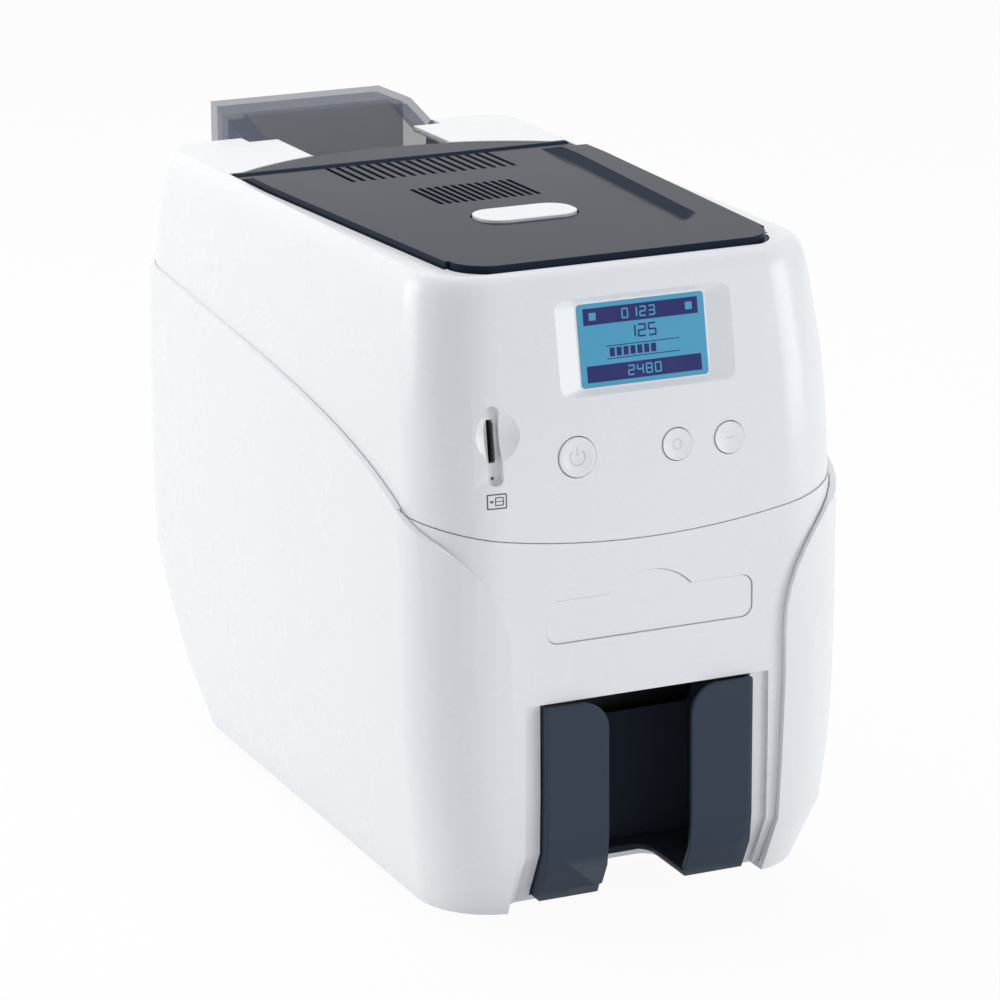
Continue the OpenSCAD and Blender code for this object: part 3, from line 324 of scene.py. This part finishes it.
pale_ink, dark_ink = ink("pale_grey_ink", "#d4d7dd"), ink("slate_ink", "#565b66")
power_x, left_x, right_x, key_z = -30.0, 13.6, 36.6, 193.0
printed("standby_mark", "power_button",
        [(arc(power_x, key_z, 3.2, 130, 410), 0.45),
         ([(power_x, key_z + 0.4), (power_x, key_z + 4.0)], 0.45)], pale_ink)
printed("left_key_mark", "left_key_button",
        [(arc(left_x, key_z, 1.9, 0, 360), 0.35)], pale_ink)
printed("right_key_mark", "right_key_button",
        [([(right_x - 1.8, key_z), (right_x + 1.8, key_z)], 0.4)], pale_ink)
chip_x, sign_z = -65.0, 179.6
printed("chip_card_mark", "upper_housing", [
    (outline(chip_x - 3.8, sign_z - 2.8, chip_x + 3.8, sign_z + 2.8), 0.5),
    (outline(chip_x - 0.6, sign_z - 1.5, chip_x + 2.6, sign_z + 1.5), 0.4),
    ([(chip_x - 0.6, sign_z), (chip_x + 2.6, sign_z)], 0.3),
    ([(chip_x - 2.8, sign_z), (chip_x - 1.5, sign_z)], 0.9),
], dark_ink)

# ---- Smoked covers ----
# Top cover, card hopper and card tray: tinted styrene from a polished mould, hung on hinge pins
# or slid into place. All three are one styrene, given three tints by part. The cover is dark
# enough to hide what is under it: its dark tint is partly painted shade, for the dark works
# beneath it. The tray and the hopper are lighter: their tints are partly painted light, for the
# light that comes through them, while the two also let some real light through.
STYRENE_IOR = 1.59


def smoked(name, colour, body_share, gloss):
    """body_share is how much of the light each face of the wall keeps; the rest passes. gloss
    is the specular level, kept low so that the white backdrop doesn't veil the dark tint."""
    material, tree, shader, place = finish(name, colour, 0.16, ior=STYRENE_IOR)
    shader.inputs["Alpha"].default_value = body_share
    shader.inputs["Specular IOR Level"].default_value = gloss
    shader.inputs["Specular Tint"].default_value = linear("#c3d0e6")
    mottle(tree, shader, place, 0.1, 0.15, 18)
    return material


# The cover's dark tint holds painted shade; the lighter tray and hopper tints hold painted light.
smoked_styrene_painted_shade = smoked("smoked_styrene_painted_shade", "#272f3c", 1.0, 0.018)
smoked_tray = smoked("smoked_tray_styrene_painted_light", "#464f5d", 0.85, 0.05)
smoked_hopper = smoked("smoked_hopper_styrene_painted_light", "#566073", 0.42, 0.03)
moulded("output_hopper", "smoked_tray", smoked_tray, bevel=0.45)
moulded("input_hopper", "smoked_hopper", smoked_hopper, bevel=0.45)
moulded("top_cover", "smoked_cover", smoked_styrene_painted_shade, bevel=0.3)

# ---- Display ----
# A backlit panel under a clear window. Its header and footer bands are dark; it shows plain
# digits and a progress bar, drawn as thin plates on the glass.
GLASS_BACK_MM = 3.0   # how far the window's face lies behind the face of the housing
PLATE_ROOT_MM = 0.1   # how deep a plate is let into the window
DIGIT_GAP_MM = 1.5


def lcd_material(name, colour, glow):
    material, tree, shader, place = finish(name, colour, 0.2)
    shader.inputs["Emission Color"].default_value = linear(colour)
    shader.inputs["Emission Strength"].default_value = glow
    mottle(tree, shader, place, 0.17, 0.24, 12)
    material.cycles.emission_sampling = "NONE"
    return material


lcd_blue = lcd_material("backlit_display", "#4d9fc2", 0.12)
lcd_dark = lcd_material("display_ink", "#23286c", 0.05)
moulded("display_window", "display_glass", lcd_blue)
# The display's middle on the face of the housing, and how far that face leans back.
lcd_x, lcd_y, lcd_z, lcd_lean = 3.0, -174.6, 235.0, math.radians(10.6)
# The strokes that are lit in each digit, and where a stroke lies: its middle as a share of the
# digit's width and half height, and whether it lies flat or stands.
SEGMENTS = {"0": "abcdef", "1": "bc", "2": "abged", "3": "abgcd", "4": "fgbc", "5": "afgcd",
            "8": "abcdefg"}
PLACES = {"a": (0, 1, 1, 0), "b": (0.5, 0.5, 0, 1), "c": (0.5, -0.5, 0, 1), "d": (0, -1, 1, 0),
          "e": (-0.5, -0.5, 0, 1), "f": (-0.5, 0.5, 0, 1), "g": (0, 0, 1, 0)}


def plates(name, boxes, material, out):
    """Thin plates (x, z, width, height) on the display, standing out by out mm."""
    form = bmesh.new()
    for x, z, w, h in boxes:
        for vert in bmesh.ops.create_cube(form, size=1.0)["verts"]:
            u, v = x + vert.co.x * w, z + vert.co.z * h
            depth = GLASS_BACK_MM - out + (vert.co.y + 0.5) * (out + PLATE_ROOT_MM)
            vert.co = Vector((lcd_x + u,
                              lcd_y + depth * math.cos(lcd_lean) + v * math.sin(lcd_lean),
                              lcd_z - depth * math.sin(lcd_lean) + v * math.cos(lcd_lean))) * MM
    piece = keep(name, form, material)
    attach(piece, nodes["display_window"]["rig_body"])
    return piece


def digits(text, x, z, w, h, pen):
    """Seven-stroke digits of w by h mm, centred on x and z, with strokes of pen mm."""
    boxes = []
    for i, digit in enumerate(text):
        centre = x + (i - (len(text) - 1) / 2) * (w + DIGIT_GAP_MM)
        for part in SEGMENTS[digit]:
            dx, dz, flat, tall = PLACES[part]
            boxes.append((centre + dx * w, z + dz * h / 2,
                          w if flat else pen, h / 2 if tall else pen))
    return boxes


band_z, bar_z = 11.3, -3.4
bands = [(0, band_z, 50, 6.6), (0, -band_z, 50, 6.6)]
bars = [(-13.5 + i * 3.0, bar_z, 2.2, 3.4) for i in range(7)]
bar_rails = [(0, bar_z - 2.5, 32, 0.35), (0, bar_z + 2.5, 32, 0.35)]
counter = digits("125", 0, 3.9, 3.0, 4.6, 0.7)
plates("display_dark_marks", bands + bars + bar_rails + counter, lcd_dark, 0.02)
header = digits("0123", -1, band_z, 2.4, 3.6, 0.6)
footer = digits("2480", 0, -band_z, 2.4, 3.6, 0.6)
header_ends = [(-21, band_z, 3, 3), (21, band_z, 3, 3)]
plates("display_light_marks", header + footer + header_ends, lcd_blue, 0.05)

# ---- Inner works ----
# The frame plates, shafts, rollers, gears, belts, boards and film under the covers. Metal parts
# are pressed, turned or cast; gears and guides are moulded nylon and acetal; sleeves are rubber.
# Every CAD node gets the finish of its slot here.
def grain(tree, shader, place, size_mm, height_mm, strength, stretch=None):
    """Bump from noise with grains of size_mm; stretch draws it out along an axis."""
    where = (place, "Object")
    if stretch:
        mapping = add(tree, "ShaderNodeMapping", {"Scale": stretch}, {"Vector": where})
        where = (mapping, "Vector")
    noise = add(tree, "ShaderNodeTexNoise", {"Scale": 1 / (size_mm * MM), "Detail": 2.0},
                {"Vector": where})
    bump = add(tree, "ShaderNodeBump", {"Strength": strength, "Distance": height_mm * MM},
               {"Height": (noise, "Fac")})
    tree.links.new(bump.outputs["Normal"], shader.inputs["Normal"])


def sheet_steel(name, colour="#b4b7ba", rough=0.34):
    """Rolled or turned metal, whose fine marks all run one way and blur the highlight. They are
    drawn at 0.9 mm, coarser than real ones, so that they show."""
    material, tree, shader, place = finish(name, colour, rough, metal=1.0)
    mottle(tree, shader, place, rough - 0.08, rough + 0.1, 14)
    grain(tree, shader, place, 0.9, 0.01, 0.12, stretch=(0.08, 1.0, 1.0))
    return material


def plain_plastic(name, colour, rough=0.5):
    """Moulded plastic, rubber or lacquer with an even, fine grain that keeps its highlight soft.
    The grain is drawn at 0.7 mm, coarser than a real one, so that it shows."""
    material, tree, shader, place = finish(name, colour, rough)
    mottle(tree, shader, place, rough - 0.06, rough + 0.08, 9)
    grain(tree, shader, place, 0.7, 0.02, 0.2)
    return material


slot_finish = {
    "sheet_steel": sheet_steel("zinc_plated_sheet"),
    "bright_steel": sheet_steel("ground_steel", "#c9ccd0", 0.2),
    "head_metal": sheet_steel("cast_heat_sink", "#9a9da1", 0.4),
    "motor_metal": sheet_steel("motor_can", "#70747a", 0.36),
    "brass": sheet_steel("machined_brass", "#c9a45a", 0.28),
    "black_rubber": plain_plastic("roller_rubber", "#1b1b1d", 0.72),
    "belt_rubber": plain_plastic("belt_neoprene", "#191919", 0.66),
    "dark_rubber": plain_plastic("turner_rubber", "#232325", 0.7),
    "black_plastic": plain_plastic("black_nylon", "#131417", 0.5),
    "grey_plastic": plain_plastic("grey_acetal", "#5f6368", 0.44),
    "blue_roller": plain_plastic("tacky_blue_rubber", "#3f84c6", 0.24),
    "pale_plastic": plain_plastic("natural_acetal", "#dcdcd6", 0.38),
    "blue_film": plain_plastic("blue_film_roll", "#2c5aa6", 0.22),
    "red_film": plain_plastic("colour_film", "#a83a2e", 0.2),
    "green_board": plain_plastic("solder_mask", "#1c5b34", 0.34),
    "card_plastic": plain_plastic("dark_card_stock", "#1f2126", 0.45),
    "white_shell": shell_abs,
    "smoked_plastic": smoked_styrene_painted_shade,
    "blue_display": shell_abs,    # only on the display's CAD node, which the glass replaces
}
for node, cad in nodes.items():
    cad.data.materials.clear()
    cad.data.materials.append(slot_finish[slot_of[node]])

# ---- Screws ----
# Twelve self-cutting screws with pan heads and cross recesses, zinc plated steel, hold the base
# pan, the main board and the rear panel. The tree sets one screw on each point, turned along
# the direction stored there.
def grow(name, tree, values, body, material, points=None):
    """Runs a Geometry Nodes tree on points [(place in mm, direction)] and keeps the result as a
    plain mesh."""
    mesh = bpy.data.meshes.new(name)
    if points:
        mesh.from_pydata([[c * MM for c in place] for place, _ in points], [], [])
        facing = mesh.attributes.new("facing", "FLOAT_VECTOR", "POINT")
        for i, (_, way) in enumerate(points):
            facing.data[i].vector = way
    piece = bpy.data.objects.new(name, mesh)
    scene.collection.objects.link(piece)
    grown = piece.modifiers.new("grown", "NODES")
    grown.node_group = tree
    for item in tree.interface.items_tree:
        if item.item_type == "SOCKET" and item.in_out == "INPUT" and item.name != "Geometry":
            grown[item.identifier] = material if item.name == "Material" else values[item.name]
    bpy.context.view_layer.update()
    evaluated = piece.evaluated_get(bpy.context.evaluated_depsgraph_get())
    result = bpy.data.meshes.new_from_object(evaluated)
    piece.modifiers.clear()
    piece.data = result
    result.name = name
    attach(piece, body)
    return piece


def new_tree(name, inputs):
    """An empty tree with a geometry output and the named inputs {name: kind}, Material last."""
    tree = bpy.data.node_groups.new(name, "GeometryNodeTree")
    tree.interface.new_socket("Geometry", in_out="OUTPUT", socket_type="NodeSocketGeometry")
    tree.interface.new_socket("Geometry", in_out="INPUT", socket_type="NodeSocketGeometry")
    for label, kind in {**inputs, "Material": "Material"}.items():
        tree.interface.new_socket(label, in_out="INPUT", socket_type="NodeSocket" + kind)
    return tree, add(tree, "NodeGroupInput")


def close_tree(tree, given, instances):
    """Makes the instances real, gives them the material and puts them out."""
    real = add(tree, "GeometryNodeRealizeInstances", links={"Geometry": instances})
    dressed = add(tree, "GeometryNodeSetMaterial",
                  links={"Geometry": (real, "Geometry"), "Material": (given, "Material")})
    add(tree, "NodeGroupOutput", links={"Geometry": (dressed, "Geometry")})


screw_tree, given = new_tree("cross_head_screw", {
    "Head Radius": "Float", "Head Height": "Float", "Shank Radius": "Float",
    "Shank Length": "Float", "Cross": "Vector", "Cross Turned": "Vector"})
head = add(screw_tree, "GeometryNodeMeshCylinder", {"Vertices": 28},
           {"Radius": (given, "Head Radius"), "Depth": (given, "Head Height")})
# The recess: two bars that cross, sunk into the outer half of the head.
cross = add(screw_tree, "GeometryNodeMeshBoolean", {"operation": "UNION"})
for label in ("Cross", "Cross Turned"):
    arm = add(screw_tree, "GeometryNodeMeshCube", links={"Size": (given, label)})
    screw_tree.links.new(arm.outputs["Mesh"], cross.inputs["Mesh 2"])
half = add(screw_tree, "ShaderNodeMath", {"operation": "MULTIPLY", 1: -0.5},
           {0: (given, "Head Height")})
down = add(screw_tree, "ShaderNodeCombineXYZ", links={"Z": (half, 0)})
sunk = add(screw_tree, "GeometryNodeTransform",
           links={"Geometry": (cross, "Mesh"), "Translation": (down, "Vector")})
cut = add(screw_tree, "GeometryNodeMeshBoolean", {"operation": "DIFFERENCE"},
          {"Mesh 1": (head, "Mesh")})
screw_tree.links.new(sunk.outputs["Geometry"], cut.inputs["Mesh 2"])
# The shank starts at the inner face of the head.
shank = add(screw_tree, "GeometryNodeMeshCylinder", {"Vertices": 16},
            {"Radius": (given, "Shank Radius"), "Depth": (given, "Shank Length")})
reach = add(screw_tree, "ShaderNodeMath", {"operation": "ADD"},
            {0: (given, "Head Height"), 1: (given, "Shank Length")})
middle = add(screw_tree, "ShaderNodeMath", {"operation": "MULTIPLY", 1: 0.5}, {0: (reach, 0)})
inward = add(screw_tree, "ShaderNodeCombineXYZ", links={"Z": (middle, 0)})
placed = add(screw_tree, "GeometryNodeTransform",
             links={"Geometry": (shank, "Mesh"), "Translation": (inward, "Vector")})
whole = add(screw_tree, "GeometryNodeJoinGeometry")
for part, label in ((cut, "Mesh"), (placed, "Geometry")):
    screw_tree.links.new(part.outputs[label], whole.inputs["Geometry"])
way = add(screw_tree, "GeometryNodeInputNamedAttribute",
          {"data_type": "FLOAT_VECTOR", "Name": "facing"})
turn = add(screw_tree, "FunctionNodeAlignRotationToVector", {"axis": "Z"},
           {"Vector": (way, "Attribute")})
set_on = add(screw_tree, "GeometryNodeInstanceOnPoints",
             links={"Points": (given, "Geometry"), "Instance": (whole, "Geometry"),
                    "Rotation": (turn, "Rotation")})
close_tree(screw_tree, given, (set_on, "Instances"))
arm_length, arm_width, arm_depth = 3.2 * MM, 0.7 * MM, 1.5 * MM
screw_values = {"Head Radius": 2.7 * MM, "Head Height": 1.6 * MM,
                "Shank Radius": 1.45 * MM, "Shank Length": 7.9 * MM,
                "Cross": (arm_length, arm_width, arm_depth),
                "Cross Turned": (arm_width, arm_length, arm_depth)}
up, right, forward = (0, 0, 1), (1, 0, 0), (0, -1, 0)
pan_screws = [((side * 74, y, 2.2), up) for side in (-1, 1) for y in (-120, 0, 80)]
board_screws = [((-70.8, y, z), right) for y in (-64, 104) for z in (32, 144)]
rear_screws = [((x, 148.8, 128), forward) for x in (-58, 58)]
screws = grow("cross_head_screws", screw_tree, screw_values, nodes["screws"]["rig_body"],
              sheet_steel("zinc_plated_screw", "#a9acb0", 0.3),
              pan_screws + board_screws + rear_screws)
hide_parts("screws")

# ---- Pins and contacts in rows ----
# Header pins on the main board and contact springs in the sockets at the rear: gilt brass,
# pressed into their plastic. Each is the same small block, repeated along a line.
row_tree, given = new_tree("row_of_blocks", {
    "Count": "Int", "Start": "Vector", "Step": "Vector", "Size": "Vector"})
line = add(row_tree, "GeometryNodeMeshLine",
           links={"Count": (given, "Count"), "Start Location": (given, "Start"),
                  "Offset": (given, "Step")})
block = add(row_tree, "GeometryNodeMeshCube", links={"Size": (given, "Size")})
row = add(row_tree, "GeometryNodeInstanceOnPoints",
          links={"Points": (line, "Mesh"), "Instance": (block, "Mesh")})
close_tree(row_tree, given, (row, "Instances"))
gilt = sheet_steel("gilt_contact", "#d8b25c", 0.22)
for name, node, count, start, step, size in [
    ("board_header_pins", "main_board", 20, (-77.2, -63, 53), (0, 0, 2.84), (3.4, 0.64, 0.64)),
    ("usb_contacts", "io_sockets", 4, (-25.0, 141.5, 103.1), (2.0, 0, 0), (0.9, 8.0, 0.4)),
    ("network_contacts", "io_sockets", 8, (-5.0, 142.5, 104.4), (0.88, 0, 0), (0.35, 6.0, 0.5)),
]:
    lengths = {label: tuple(c * MM for c in value)
               for label, value in (("Start", start), ("Step", step), ("Size", size))}
    grow(name, row_tree, {"Count": count, **lengths}, nodes[node]["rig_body"], gilt)
